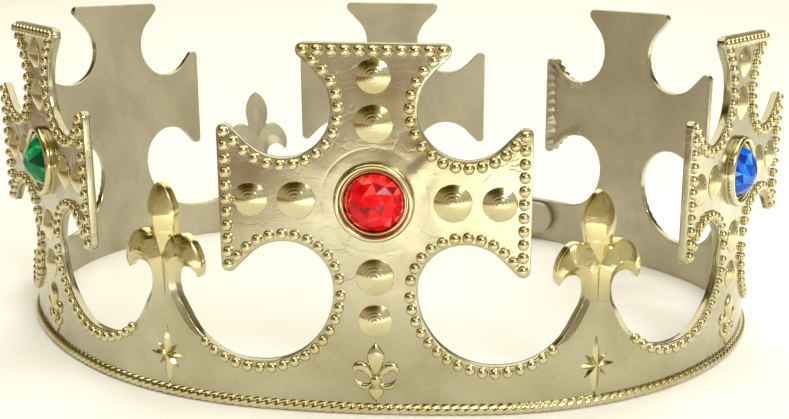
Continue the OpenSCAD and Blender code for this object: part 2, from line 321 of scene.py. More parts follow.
before, after = np.roll(OUT, 1, 0), np.roll(OUT, -1, 0)


def unit(a):
    return a / np.maximum(np.linalg.norm(a, axis=1, keepdims=True), 1e-9)


d0, d1 = unit(OUT - before), unit(after - OUT)
tangent = unit(d0 + d1)
INWARD = np.column_stack([-tangent[:, 1], tangent[:, 0]])
stretch = 1 / np.clip(np.sqrt((1 + (d0 * d1).sum(1)) / 2), 0.65, 1)
INWARD *= stretch[:, None]

# The edges are rounder on the crosses and band than on the lilies, and finest at a lily's points
LILY_EDGE, POINT_EDGE, POINT_NEAR = 0.38, 0.1, 1.6
FINER_FROM, FINER_OVER = 18.0, 6.0
EDGE = np.ones(RIM_COUNT)
for arc in LILIES.values():
    u = abs(OUT[:, 0] - station_s(arc))
    mine = (u < LILY_REACH + 1) & (OUT[:, 1] > FINER_FROM)
    EDGE[mine] = 1 - (1 - LILY_EDGE) * smooth((OUT[mine, 1] - FINER_FROM) / FINER_OVER)
    for pu, pv in (PETAL_TIP, LEAF_TIP, NOTCH):
        near = np.clip(np.hypot(u + pu, OUT[:, 1] - pv)[mine] / POINT_NEAR, 0, 1)
        EDGE[mine] = np.minimum(EDGE[mine], POINT_EDGE + (LILY_EDGE - POINT_EDGE) * near)

ROUND = 0.4
SHOULDER = 0.8
PROFILE = [(SHOULDER, 0.0)]
for a in np.radians([0, 30, 60, 90]):
    PROFILE.append((ROUND * (1 - math.sin(a)), ROUND * (1 - math.cos(a))))

# --- Heights of the outer face, and hollows of the inner one ---


def segment_distance(p, line, values=None):
    """Distance from each point to a polyline, and the value there."""
    line = np.array(line, float)
    best = np.full(len(p), 1e9)
    value = np.zeros(len(p))
    for i in range(len(line) - 1):
        a, b = line[i], line[i + 1]
        ab = b - a
        t = np.clip(((p - a) @ ab) / (ab @ ab), 0, 1)
        d = np.linalg.norm(p - a - t[:, None] * ab, axis=1)
        closer = d < best
        best[closer] = d[closer]
        if values is not None:
            at = values[i] * (1 - t) + values[i + 1] * t
            value[closer] = at[closer]
    return best, value


def lily_height(p):
    """Height of a lily's outer face at points beside its axis: roofs with crisp ridges."""
    q = np.column_stack([-abs(p[:, 0]), p[:, 1]])
    foot, _ = segment_distance(q, LEAF_FOOT)
    inside_leaf = (q[:, 1] > np.interp(q[:, 0], *zip(*LEAF_FOOT))) & (q[:, 0] > -4.2)
    side, _ = segment_distance(q, LEAF_SIDE)
    leaf_ridge, leaf_h = segment_distance(q, LEAF_RIDGE, LEAF_RIDGE_H)
    edge = np.where(q[:, 1] > NOTCH[1] + 0.15, side, foot)
    base = np.where(side < foot, 0.0, VALLEY_H * smooth(side / 1.5))
    t = edge / np.maximum(edge + leaf_ridge, 1e-6)
    leaf = base + (leaf_h - base) * t**0.95
    ridge, ridge_h = segment_distance(q, PETAL_RIDGE, PETAL_RIDGE_H)
    under, _ = segment_distance(q, PETAL_FOOT)
    over, _ = segment_distance(q, PETAL_HIGH)
    crease, crease_h = segment_distance(q, MID_CREASE, MID_CREASE_H)
    outer = np.minimum(over, np.minimum(foot, crease))
    # Down the stem the ridge itself tells its two sides apart
    beside = (q[:, 1] < 28) | ((q[:, 1] < 31) & (q[:, 0] > -5))
    past = q[:, 0] < np.interp(q[:, 1], RIDGE_DOWN[:, 1], RIDGE_DOWN[:, 0])
    low_side = np.where(beside, past, under < outer)
    valley = np.where(low_side, under, outer)
    on_edge = low_side | (over <= np.minimum(foot, crease))
    valley_h = np.where(on_edge, 0.0, np.where(foot < crease, VALLEY_H, crease_h))
    t = valley / np.maximum(valley + ridge, 1e-6)
    petal = valley_h + (ridge_h - valley_h) * np.where(low_side, t**1.3, t**0.85)
    h = np.where(inside_leaf, leaf, petal)
    # Towards the band each ridge stands alone beside the opening
    alone = ridge_h * np.minimum(1 - smooth(ridge / 2.4), (under / np.maximum(under + ridge, 1e-6)) ** 1.3)
    w = smooth((q[:, 1] - 19) / 6)
    return (h * w + alone * (1 - w)) * smooth((q[:, 1] - 13) / 2)


# Faint rings on the outer face, as (s, v, radius, height): one round each setting, and a mould mark
RING_MARKS = [(station_s(arc), CROSS_HEIGHT, 11.7, -0.03) for arc in CROSSES.values()]
RING_MARKS.append((station_s(FRONT) + 28.4, 5.5, 2.2, 0.07))


def outer_height(owner, s, v):
    h = np.zeros(len(s))
    for arc in LILIES.values():
        mine = (owner == arc) & (v > LILY_FROM - 0.5) & (abs(s - station_s(arc)) < LILY_REACH + 1)
        if mine.any():
            h[mine] = lily_height(np.column_stack([s[mine] - station_s(arc), v[mine]]))
    for ms, mv, mr, mh in RING_MARKS:
        d = np.hypot(s - ms, v - mv) - mr
        h += mh * np.exp(-((d / 0.12) ** 2)) * (abs(d) < 1)
    return h


def inner_hollow(owner, s, v, h):
    """How far the inner face is sunk behind the domes, the setting and the lilies."""
    sunk = 0.7 * h * (h > 0.1)
    for arc in CROSSES.values():
        u, w = s - station_s(arc), v - CROSS_HEIGHT
        mine = owner == arc
        for at, r in DOMES:
            for du, dw in ((0, at), (0, -at), (at, 0), (-at, 0)):
                d = np.hypot(u - du, w - dw)
                sunk += mine * 0.16 * np.exp(-((d / (0.75 * r)) ** 2))
        sunk += mine * 0.22 * smooth((9.6 - np.hypot(u, w)) / 2.4)
    return sunk


# --- The strip's mesh ---

front_ring = OUT + INWARD * (PROFILE[0][0] * EDGE)[:, None]
points = [tuple(p) for p in front_ring]
edges = [(i, (i + 1) % RIM_COUNT) for i in range(RIM_COUNT)]


def nearest_outline(s, v):
    """The number of the outline point nearest to a place."""
    return int(np.argmin(np.hypot(OUT[:, 0] - s, OUT[:, 1] - v)))


def add_line(first, line, last=None):
    """A crease through new points, from one outline point to another or to a free end."""
    chain = [first]
    for p in line:
        points.append((float(p[0]), float(p[1])))
        chain.append(len(points) - 1)
    if last is not None:
        chain.append(last)
    edges.extend(zip(chain[:-1], chain[1:]))
    return chain


CUT_STEP = 1.2
cut_edges = set()


def add_cut(a, b):
    """A line that divides the strip between two pieces, from one outline point to another."""
    run = straight_run(front_ring[a], front_ring[b], CUT_STEP)[1:-1]
    chain = add_line(a, run, b)
    cut_edges.update(frozenset(e) for e in zip(chain[:-1], chain[1:]))


def cut_end(arc, side):
    """The outline point at one end of the cut under a cross or across a lily's stem."""
    r = CLOSURE_OPENING_R if (arc, side) in CLOSURE_SIDES else OPENING_R
    half = ARM_WAIST + r - math.sqrt(r**2 - (OPENING_V - SPLIT_V) ** 2) if arc % 2 == 0 else STEM_AT_SPLIT
    return nearest_outline(station_s(arc) + side * half, SPLIT_V)


def add_lily_creases(arc):
    """The creases of a lily's face, with the points where its stem's cut crosses three of them."""
    shift = [station_s(arc), 0]
    tip = nearest_outline(shift[0], LEAF_TIP[1])
    crotch = add_line(tip, spline_run(LEAF_RIDGE, CREASE_STEP)[1:] + shift)[-1]
    crossed = [add_line(crotch, spline_run(MID_CREASE, CREASE_STEP)[1:] + shift)]
    for side in (1, -1):
        petal_tip = nearest_outline(shift[0] + side * PETAL_TIP[0], PETAL_TIP[1])
        crossed.append(add_line(petal_tip, spline_run(PETAL_RIDGE, CREASE_STEP)[1:] * [side, 1] + shift))
        notch = nearest_outline(shift[0] + side * NOTCH[0], NOTCH[1])
        add_line(notch, spline_run(LEAF_FOOT, CREASE_STEP)[1:-1] * [side, 1] + shift, crotch)
    stem = [[i for i in chain[1:] if points[i][1] < OVERHANG_V] for chain in crossed]
    return [min(chain, key=lambda i: abs(points[i][1] - SPLIT_V)) for chain in stem]


for line in BAY_LINES:
    top_v = OUT[(abs(OUT[:, 0] - line) < 1e-6) & (OUT[:, 1] > 5), 1]
    add_cut(nearest_outline(line, 0), nearest_outline(line, top_v[0]))
for arc in range(CLOSURE):
    ends = [cut_end(arc, side) for side in (-1, 1)]
    if arc % 2 == 0:
        add_cut(*ends)
        continue
    stops = sorted(ends + add_lily_creases(arc), key=lambda i: points[i][0])
    for pair in zip(stops[:-1], stops[1:]):
        edges.append(pair)
        cut_edges.add(frozenset(pair))

fixed = KDTree(len(points))
for i, p in enumerate(points):
    fixed.insert((p[0], p[1], 0), i)
fixed.balance()

RING_STEPS = (-0.44, -0.26, -0.13, 0, 0.13, 0.26, 0.44)
marks = []
for ms, mv, mr, _ in RING_MARKS:
    marks += [circle_run(ms, mv, mr + step, 0, 360, 0.6)[:-1] for step in RING_STEPS]


def hexagonal(s_range, v_range, step):
    rows = np.arange(v_range[0], v_range[1], step * math.sqrt(3) / 2)
    out = []
    for i, v in enumerate(rows):
        s = np.arange(s_range[0] + (i % 2) * step / 2, s_range[1], step)
        out.append(np.column_stack([s, np.full(len(s), v)]))
    return np.vstack(out)


def inside(p):
    x, y = front_ring[:, 0], front_ring[:, 1]
    x2, y2 = np.roll(x, -1), np.roll(y, -1)
    result = np.zeros(len(p), bool)
    for at in range(0, len(p), 1500):
        px, py = p[at : at + 1500, :1], p[at : at + 1500, 1:]
        crosses = ((y > py) != (y2 > py)) & (px < (x2 - x) * (py - y) / np.where(y2 == y, 1e-12, y2 - y) + x)
        result[at : at + 1500] = crosses.sum(1) % 2 == 1
    return result


def in_lily(p):
    beside = [abs(p[:, 0] - station_s(arc)) < LILY_REACH for arc in LILIES.values()]
    return np.any(beside, axis=0) & (p[:, 1] > LILY_FROM)


GRID, LILY_GRID = 1.7, 0.62
GRID_FROM = -12.0
wide = hexagonal((GRID_FROM, FLAP_END), (0, TOP_V), GRID)
wide = wide[~in_lily(wide)]
for ms, mv, mr, _ in RING_MARKS:
    wide = wide[abs(np.hypot(wide[:, 0] - ms, wide[:, 1] - mv) - mr) > 0.75]
lily_middles = [station_s(arc) for arc in LILIES.values()]
close = np.vstack(
    [hexagonal((s - LILY_REACH, s + LILY_REACH), (LILY_FROM, LEAF_TIP[1]), LILY_GRID) for s in lily_middles]
)
# Grid points are left out where the outline or a crease already has one within the gap
for grid, gap in ((np.vstack(marks), 0.05), (wide, 0.62 * GRID), (close, 0.6 * LILY_GRID)):
    for p in grid[inside(grid)]:
        if fixed.find((p[0], p[1], 0))[2] > gap:
            points.append((float(p[0]), float(p[1])))

out_points, _, out_faces, from_points, _, _ = delaunay_2d_cdt(
    [Vector(p) for p in points], edges, [list(range(RIM_COUNT))], 1, 1e-5
)
flat = np.array([tuple(p) for p in out_points])
ring_index = np.full(RIM_COUNT, -1)
first_source = {}
for i, source in enumerate(from_points):
    for j in source:
        first_source[j] = i
        if j < RIM_COUNT:
            ring_index[j] = i
if (ring_index < 0).any():
    raise RuntimeError("the strip's outline lost points in its triangulation")
FLAT_COUNT = len(flat)

def sides(tri):
    return [frozenset(pair) for pair in zip(tri, list(tri[1:]) + [tri[0]])]


# Each triangle's region, found by spreading over edges that aren't cuts
cuts = {frozenset((first_source[a], first_source[b])) for a, b in map(tuple, cut_edges)}
by_edge = {}
for f, tri in enumerate(out_faces):
    for edge in sides(tri):
        by_edge.setdefault(edge, []).append(f)
region = np.full(len(out_faces), -1)
regions = 0
for seed in range(len(out_faces)):
    if region[seed] >= 0:
        continue
    region[seed] = regions
    stack = [seed]
    while stack:
        for edge in sides(out_faces[stack.pop()]):
            if edge in cuts:
                continue
            for g in by_edge[edge]:
                if region[g] < 0:
                    region[g] = regions
                    stack.append(g)
    regions += 1


def owner_at(s, v):
    """The cross or lily that a point inside the outline belongs to."""
    k = arc_of(s)
    cross = 2 * np.clip(np.round((s - station_s(0)) / (2 * HALF_BAY)).astype(int), 0, 5)
    reach = abs(s - station_s(cross)) < ARM_REACH + 1
    k = np.where((v > OVERHANG_V) & reach, cross, k)
    return np.where((s > PAST_SEAM) & (v < OVERHANG_V), CLOSURE, k)


def label_at(s, v):
    """Even numbers for the band's pieces and odd ones for what stands on them."""
    k = int(owner_at(np.array([s]), np.array([v]))[0])
    return 2 * k + (1 if v > SPLIT_V and k != CLOSURE else 0)


tri_centres = np.array([flat[list(t)].mean(0) for t in out_faces])
region_label = {}
for r in range(regions):
    votes = [label_at(*c) for c in tri_centres[region == r]]
    region_label[r] = max(set(votes), key=votes.count)

flat_owner = owner_at(*flat.T)
flat_owner[ring_index] = OWNER
flat_h = outer_height(flat_owner, *flat.T)
hollow = inner_hollow(flat_owner, *flat.T, flat_h)

# The outer face, the inner face, then the rounded rim from the outer face to the inner one
DEEPEST_HOLLOW = 1.5
blocks = [(flat_owner, *flat.T, flat_h), (flat_owner, *flat.T, np.minimum(hollow, DEEPEST_HOLLOW) - WALL)]
for inset, drop in PROFILE[1:]:
    blocks.append((OWNER, *(OUT + INWARD * (inset * EDGE)[:, None]).T, -drop * EDGE))
for inset, drop in PROFILE[:0:-1]:
    blocks.append((OWNER, *(OUT + INWARD * (inset * EDGE)[:, None]).T, drop * EDGE - WALL))
strip_flat = [np.concatenate([b[i] for b in blocks]) for i in range(4)]
strip_verts = lay(*strip_flat)

faces, labels, is_inner = [], [], []
for f, tri in enumerate(out_faces):
    label = region_label[region[f]]
    faces.append(tuple(tri))
    faces.append(tuple(FLAT_COUNT + i for i in reversed(tri)))
    labels += [label, label]
    is_inner += [False, True]
rings = [list(ring_index)]
for start in range(2 * FLAT_COUNT, len(strip_verts), RIM_COUNT):
    rings.append(list(range(start, start + RIM_COUNT)))
rings.append([FLAT_COUNT + i for i in ring_index])
side_label = []
for i in range(RIM_COUNT):
    mid = (OUT[i] + OUT[(i + 1) % RIM_COUNT]) / 2
    own = OWNER[i] if OWNER[i] == OWNER[(i + 1) % RIM_COUNT] else int(owner_at(mid[:1], mid[1:])[0])
    own = CLOSURE if mid[0] > FLAP_SEAM and mid[1] < OVERHANG_V else min(own, CLOSURE - 1)
    side_label.append(2 * own + (1 if mid[1] > SPLIT_V and own != CLOSURE else 0))
for j in range(len(rings) - 1):
    a, b = rings[j], rings[j + 1]
    for i in range(RIM_COUNT):
        n = (i + 1) % RIM_COUNT
        faces.append((a[i], b[i], b[n], a[n]))
        labels.append(side_label[i])
        is_inner.append(j >= len(rings) - 3)
labels = np.array(labels)
is_inner = np.array(is_inner)


def new_mesh(name, verts, polygons):
    mesh = bpy.data.meshes.new(name)
    mesh.from_pydata([tuple(v) for v in verts], [], polygons)
    mesh.polygons.foreach_set("use_smooth", [True] * len(mesh.polygons))
    return mesh


def store(mesh, name, values):
    layer = mesh.attributes.new(name, "FLOAT_VECTOR", "POINT")
    layer.data.foreach_set("vector", np.asarray(values, np.float32).ravel())


STRIP_SHARP = 24
whole = new_mesh("whole", strip_verts, faces)
work = bmesh.new()
work.from_mesh(whole)
bmesh.ops.recalc_face_normals(work, faces=work.faces)
work.to_mesh(whole)
work.free()
whole.set_sharp_from_angle(angle=math.radians(STRIP_SHARP))
corner_normals = np.zeros(len(whole.loops) * 3, np.float32)
whole.corner_normals.foreach_get("vector", corner_normals)
corner_normals = corner_normals.reshape(-1, 3)
loop_vertex = np.zeros(len(whole.loops), int)
whole.loops.foreach_get("vertex_index", loop_vertex)
loop_start = np.array([p.loop_start for p in whole.polygons])
loop_total = np.array([p.loop_total for p in whole.polygons])
strip_coords = np.column_stack(strip_flat[1:])

scene = bpy.context.scene


def link(name, mesh, materials):
    piece = bpy.data.objects.new(name, mesh)
    scene.collection.objects.link(piece)
    for m in materials:
        mesh.materials.append(m)
    return piece


def strip_piece(name, label, materials):
    """One named length of the strip, closed where it was cut and shaded as if it weren't."""
    picked = np.nonzero(labels == label)[0]
    loops = np.concatenate([np.arange(loop_start[f], loop_start[f] + loop_total[f]) for f in picked])
    used, renumbered = np.unique(loop_vertex[loops], return_inverse=True)
    polygons, at = [], 0
    for f in picked:
        polygons.append(tuple(int(i) for i in renumbered[at : at + loop_total[f]]))
        at += loop_total[f]
    mesh = new_mesh(name, strip_verts[used], polygons)
    work = bmesh.new()
    work.from_mesh(mesh)
    rim = [e for e in work.edges if e.is_boundary]
    bmesh.ops.holes_fill(work, edges=rim, sides=0)
    work.to_mesh(mesh)
    work.free()
    store(mesh, "strip", strip_coords[used])
    inner = np.zeros(len(mesh.polygons), int)
    inner[: len(picked)] = is_inner[picked]
    piece = link(name, mesh, materials)
    mesh.polygons.foreach_set("material_index", inner)
    mesh.polygons.foreach_set("use_smooth", [True] * len(mesh.polygons))
    normals = np.zeros((len(mesh.loops), 3), np.float32)
    normals[: len(loops)] = corner_normals[loops]
    mesh.normals_split_custom_set([tuple(n) for n in normals])
    return piece


# --- Small shapes that sit on the strip ---


class Batch:
    """Flat points and faces gathered for one piece."""

    def __init__(self):
        self.owner, self.points, self.faces = [], [], []

    def add(self, owner, s0, v0, shape, turn=0.0):
        pts, polygons = shape
        c, s = math.cos(turn), math.sin(turn)
        at = sum(len(p) for p in self.points)
        x, y = pts[:, 0], pts[:, 1]
        self.points.append(np.column_stack([s0 + x * c - y * s, v0 + x * s + y * c, pts[:, 2]]))
        self.owner.append(np.full(len(pts), owner) if np.isscalar(owner) else owner)
        self.faces += [tuple(at + i for i in f) for f in polygons]

    def piece(self, name, material, sharp=34):
        flat_points = np.vstack(self.points)
        bent = lay(np.concatenate(self.owner), *flat_points.T)
        mesh = new_mesh(name, bent, self.faces)
        store(mesh, "strip", flat_points)
        piece = link(name, mesh, [material])
        mesh.set_sharp_from_angle(angle=math.radians(sharp))
        return piece


def lathe(profile, segments):
    """A closed turned shape. The profile runs from the foot's rim up to the axis."""
    pts = [(0.0, 0.0, profile[0][1])]
    for r, h in profile[:-1]:
        for i in range(segments):
            a = 2 * math.pi * i / segments
            pts.append((r * math.cos(a), r * math.sin(a), h))
    pts.append((0.0, 0.0, profile[-1][1]))
    polygons = []
    top = 1 + (len(profile) - 2) * segments
    for i in range(segments):
        n = (i + 1) % segments
        polygons.append((0, 1 + n, 1 + i))
        for a in range(1, top, segments):
            polygons.append((a + i, a + n, a + segments + n, a + segments + i))
        polygons.append((top + i, top + n, len(pts) - 1))
    return np.array(pts), polygons


def ridge_faces(rows, row):
    """Closes a ridge made of rows of points, each row running over it from side to side."""
    polygons = []
    for at in range(0, (rows - 1) * row, row):
        for k in range(at, at + row - 1):
            polygons.append((k, k + row, k + row + 1, k + 1))
        polygons.append((at, at + row - 1, at + 2 * row - 1, at + row))
    polygons.append(tuple(range(row)))
    polygons.append(tuple(reversed(range((rows - 1) * row, rows * row))))
    return polygons


def tapered(spine, widths, height, sections=7):
    """A rounded, pointed relief along a spine, with the given half widths."""
    spine = np.array(spine, float)
    d = unit(np.gradient(spine, axis=0))
    side = np.column_stack([-d[:, 1], d[:, 0]])
    pts = []
    for p, q, w in zip(spine, side, widths):
        for a in math.pi * np.arange(sections + 1) / sections:
            off = p + q * w * math.cos(a)
            pts.append((off[0], off[1], height * math.sqrt(w / max(widths)) * math.sin(a)))
    return np.array(pts), ridge_faces(len(spine), sections + 1)


BEAD = lathe(
    [(BEAD_R, -0.1), (BEAD_R, 0.03), (1.2, 0.09), (1.16, 0.14), (1.2, 0.26)]
    + [(1.22 * math.cos(a), 0.26 + 1.04 * math.sin(a)) for a in np.radians([12, 24, 36, 48, 60, 72, 82])]
    + [(0, BEAD_R)],
    20,
)


def dome_shape(r):
    """A low cone with a rounded shoulder and faint turned rings."""
    profile = [(r, -0.1), (r, 0.04), (r - 0.1, 0.1), (r - 0.12, 0.2)]
    foot_r, foot_h = profile[-1]
    steps, rings = 30, 5
    for i in range(1, steps + 1):
        t = i / steps
        ripple = 0.022 * math.sin(t * rings * 2 * math.pi) * (0.35 < t < 0.98)
        profile.append((foot_r * (1 - t), foot_h + (DOME_H - foot_h) * (1 - (1 - t) ** 1.5) + ripple))
    return lathe(profile, 44)


SETTING = lathe(
    [
        (8.95, -0.1), (8.95, 0.04), (8.84, 0.12), (8.84, 0.8), (8.78, 1.15), (8.64, 1.5), (8.42, 1.8),
        (8.15, 1.96), (7.85, 1.96), (7.6, 1.78), (7.44, 1.45), (7.4, 1.0), (7.38, 0.45), (7.3, 0.36),
        (7.16, 0.36), (7.1, 0.45), (7.08, 1.0), (7.0, 1.18), (6.84, 1.22), (6.66, 1.1), (6.32, 0.62),
        (6.3, 0.3), (0, 0.3),
    ],
    96,
)


def cut_stone():
    """A pointed stone: six facets round the point and two rows round the edge."""
    pts = [(0.0, 0.0, 5.0)]
    # Corners, turn in degrees, radius, height, and how much lower every second corner lies
    corners = [
        (6, 12, 2.9, 4.3, 0), (12, 27, 4.9, 3.05, 0.12),
        (24, 19.5, 6.3, 1.05, 0), (24, 19.5, 6.3, 0.35, 0),
    ]
    for count, turn, r, h, dip in corners:
        for i in range(count):
            a = math.radians(360 / count * i + turn)
            pts.append((r * math.cos(a), r * math.sin(a), h - dip * (i % 2)))
    top, mid, edge, foot = 1, 7, 19, 43
    polygons = []
    for i in range(6):
        n = (i + 1) % 6
        polygons.append((0, top + i, top + n))
        polygons.append((top + i, mid + 2 * i, top + n))
        polygons.append((top + n, mid + 2 * i, mid + 2 * i + 1))
        polygons.append((top + n, mid + 2 * i + 1, mid + (2 * i + 2) % 12))
    for i in range(12):
        n = (i + 1) % 12
        polygons.append((mid + i, edge + 2 * i, edge + (2 * i + 1) % 24))
        polygons.append((mid + i, edge + (2 * i + 1) % 24, mid + n))
        polygons.append((mid + n, edge + (2 * i + 1) % 24, edge + (2 * i + 2) % 24))
    for i in range(24):
        n = (i + 1) % 24
        polygons.append((edge + i, foot + i, foot + n, edge + n))
    polygons.append(tuple(foot + i for i in reversed(range(24))))
    return np.array(pts), polygons


def rope(from_s, to_s):
    """The half-round roped ridge: slanting strands that run up to the right."""
    step, pitch, slant = 0.2, 2.15, 1.05
    along = np.linspace(from_s, to_s, int((to_s - from_s) / step) + 1)
    around = np.radians(np.linspace(-90, 90, 10))
    s, a = np.meshgrid(along, around, indexing="ij")
    strand = np.mod((s - slant * ROPE_R * a) / pitch, 1)
    bulge = np.sqrt(np.maximum(0, 1 - (2 * strand - 1) ** 2))
    r = ROPE_R * (0.62 + 0.38 * bulge)
    v = np.maximum(ROPE_R + r * np.sin(a), 0.02)
    pts = np.stack([s, v, r * np.cos(a)], -1).reshape(-1, 3)
    return pts, ridge_faces(len(along), len(around))


def star_shapes():
    """Eight creased rays, the longest pointing down, each with its turn."""
    side, corner = (4.0, 0.6, 0.75), (4.8, 0.75, 0.85)
    rays = [(7.0, 0.95, 1.0), side, corner, side, (7.6, 1.15, 0.75), side, corner, side]
    t = np.linspace(0, 1, 12)
    shapes = []
    for i, (length, half, height) in enumerate(rays):
        widths = half * np.maximum(np.sin(math.pi * (0.15 + 0.85 * t) ** 0.85), 0.04)
        ray = tapered(np.column_stack([0 * t, length * t]), widths, height, 2)
        shapes.append((ray, math.radians(-45 * i)))
    return shapes


FOOT_LEAF = [(0.9, 8.9), (1.9, 10.3), (3.0, 11.4), (4.2, 11.3), (4.75, 10.3), (4.6, 9.5)]
FOOT_CURL = [(0.7, 7.6), (2.0, 6.7), (3.3, 6.8), (4.2, 7.7), (4.6, 8.6)]


def swell(n, peak, at=0.5, ends=(0.05, 0.05)):
    """Half widths that rise to a peak and fall again."""
    t = np.linspace(0, 1, n)
    x = np.where(t < at, t / at, (1 - t) / (1 - at))
    return peak * np.maximum(np.sin(x * math.pi / 2) ** 0.9, np.where(t < at, ends[0], ends[1]))


def foot_lily_shapes():
    """A small lily in relief: leaf, foot, two side leaves, two curls and a ball in the middle."""
    leaf = straight_run((0, 16.9), (0, 9.2), 0.4)
    foot = straight_run((0, 7.5), (0, 3.1), 0.35)
    shapes = [
        tapered(leaf, swell(len(leaf), 2.0, 0.42), 1.0, 8),
        tapered(foot, swell(len(foot), 1.75, 0.42, (0.5, 0.05)), 0.85, 8),
    ]
    for side in (-1, 1):
        spine = spline_run(np.array(FOOT_LEAF) * [side, 1], 0.35)
        shapes.append(tapered(spine, swell(len(spine), 1.15, 0.55, (0.45, 0.1)), 0.85))
        spine = spline_run(np.array(FOOT_CURL) * [side, 1], 0.35)
        shapes.append(tapered(spine, swell(len(spine), 0.75, 0.45, (0.6, 0.1)), 0.7))
    dome = [(1.25 * math.cos(a), 0.3 + 0.8 * math.sin(a)) for a in np.radians([22, 45, 68])]
    pts, polygons = lathe([(1.25, -0.05), (1.25, 0.3)] + dome + [(0, 1.1)], 16)
    shapes.append((pts + [0, 8.15, 0], polygons))
    return shapes


# --- Materials ---


class Nodes:
    """A short way to write the nodes of a material or of the world."""

    def __init__(self, owner):
        owner.use_nodes = True
        self.owner = owner
        self.tree = owner.node_tree
        self.shader = self.tree.nodes.get("Principled BSDF")

    def give(self, socket, value):
        if isinstance(value, bpy.types.NodeSocket):
            self.tree.links.new(value, socket)
        else:
            socket.default_value = value

    def add(self, kind, inputs=None, **settings):
        node = self.tree.nodes.new(kind)
        for key, value in settings.items():
            setattr(node, key, value)
        for key, value in (inputs or {}).items():
            self.give(node.inputs[key], value)
        return node

    def ramp(self, value, stops):
        node = self.add("ShaderNodeValToRGB", {0: value})
        ramp = node.color_ramp
        while len(ramp.elements) < len(stops):
            ramp.elements.new(0.5)
        for element, (at, colour) in zip(ramp.elements, stops):
            element.position = at
            element.color = colour if len(colour) == 4 else (*colour, 1)
        return node.outputs[0]

    def maths(self, operation, a, b=0.0):
        return self.add("ShaderNodeMath", {0: a, 1: b}, operation=operation).outputs[0]

    def vector(self, operation, a, b=(0, 0, 0), output="Vector"):
        return self.add("ShaderNodeVectorMath", {0: a, 1: b}, operation=operation).outputs[output]

    def share(self, a, b, part):
        """A sum of two values, of which the first makes up the given part."""
        return self.maths("ADD", self.maths("MULTIPLY", a, part), self.maths("MULTIPLY", b, 1 - part))

    def span(self, value, low, high, to_low=0.0, to_high=1.0, kind="LINEAR"):
        inputs = {0: value, 1: low, 2: high, 3: to_low, 4: to_high}
        return self.add("ShaderNodeMapRange", inputs, interpolation_type=kind).outputs[0]

    def mix(self, amount, a, b):
        return self.add("ShaderNodeMix", {0: amount, 6: a, 7: b}, data_type="RGBA").outputs[2]

    def noise(self, vector, scale, detail=3.0, rough=0.5, distortion=0.0):
        inputs = {"Vector": vector, "Scale": scale, "Detail": detail}
        inputs |= {"Roughness": rough, "Distortion": distortion}
        return self.add("ShaderNodeTexNoise", inputs).outputs[0]

    def strip(self, stretch=(1, 1, 1), shift=(0, 0, 0)):
        """The flat place on the strip, in millimetres, scaled and moved."""
        place = self.add("ShaderNodeAttribute", attribute_name="strip").outputs["Vector"]
        inputs = {"Vector": place, "Scale": stretch, "Location": shift}
        return self.add("ShaderNodeMapping", inputs).outputs[0]

    def set(self, **inputs):
        for key, value in inputs.items():
            self.give(self.shader.inputs[key.replace("_", " ")], value)


def srgb(*levels):
    """A colour in linear light from its usual levels of 0 to 255."""
    parts = [c / 255 for c in levels]
    return tuple(c / 12.92 if c <= 0.04045 else ((c + 0.055) / 1.055) ** 2.4 for c in parts)


def bumped(m, layers):
    """Stacks bumps: (height socket, strength, distance in millimetres)."""
    normal = None
    for height, strength, distance in layers:
        inputs = {"Height": height, "Strength": strength, "Distance": distance * MM}
        if normal is not None:
            inputs["Normal"] = normal
        normal = m.add("ShaderNodeBump", inputs).outputs[0]
    return normal


def gold(name, light, dark, rough, waves, hairlines, grain, low=None):
    """Thin bright metal over moulded plastic. A lily takes the band's colours low down."""
    m = Nodes(bpy.data.materials.new(name))
    plain = m.strip()
    mottle = m.share(m.noise(plain, 0.045, 3, 0.55, 0.6), m.noise(plain, 0.9, 4, 0.6), 0.8)
    tone = m.ramp(mottle, [(0.36, dark), (0.64, light)])
    if low:
        height = m.add("ShaderNodeSeparateXYZ", {0: plain}).outputs[1]
        foot = m.ramp(mottle, [(0.36, low[1]), (0.64, low[0])])
        tone = m.mix(m.span(height, SPLIT_V, 34.0), foot, tone)
    m.set(Base_Color=tone, Metallic=1.0)
    haze = m.noise(m.strip(shift=(40, 9, 0)), 0.16, 4, 0.6)
    scratch = m.noise(m.strip((0.25, 5.0, 1), (3, 0, 0)), 0.8, 2, 0.5, 0.8)
    m.set(Roughness=m.span(m.share(haze, scratch, 0.7), 0.35, 0.68, *rough))
    sway = m.noise(m.strip((1, 0.8, 1), (11, 5, 0)), 0.045, 2, 0.45, 0.4)
    # Hairlines follow the borders of large wandering cells, and fade out in places
    wander = m.add("ShaderNodeTexNoise", {"Vector": plain, "Scale": 0.22, "Detail": 4.0}).outputs[1]
    cells = m.vector("ADD", m.strip((1, 1.3, 1)), m.vector("MULTIPLY", wander, (9, 9, 9)))
    inputs = {"Vector": cells, "Scale": 0.075}
    cracks = m.add("ShaderNodeTexVoronoi", inputs, feature="DISTANCE_TO_EDGE").outputs[0]
    absent = m.span(m.noise(m.strip(shift=(70, 20, 0)), 0.06, 2), 0.46, 0.6, 1.0, 0.0)
    line = m.maths("MAXIMUM", m.span(cracks, 0.0, 0.018, kind="SMOOTHSTEP"), absent)
    layers = [
        (sway, 1.0, waves),
        (line, 1.0, hairlines),
        (m.noise(m.strip((0.35, 1, 1)), 0.5, 3, 0.5, 1.2), 1.0, grain * 2.2),
        (m.noise(plain, 2.6, 3, 0.6), 1.0, grain),
    ]
    m.set(Normal=bumped(m, layers))
    return m.owner


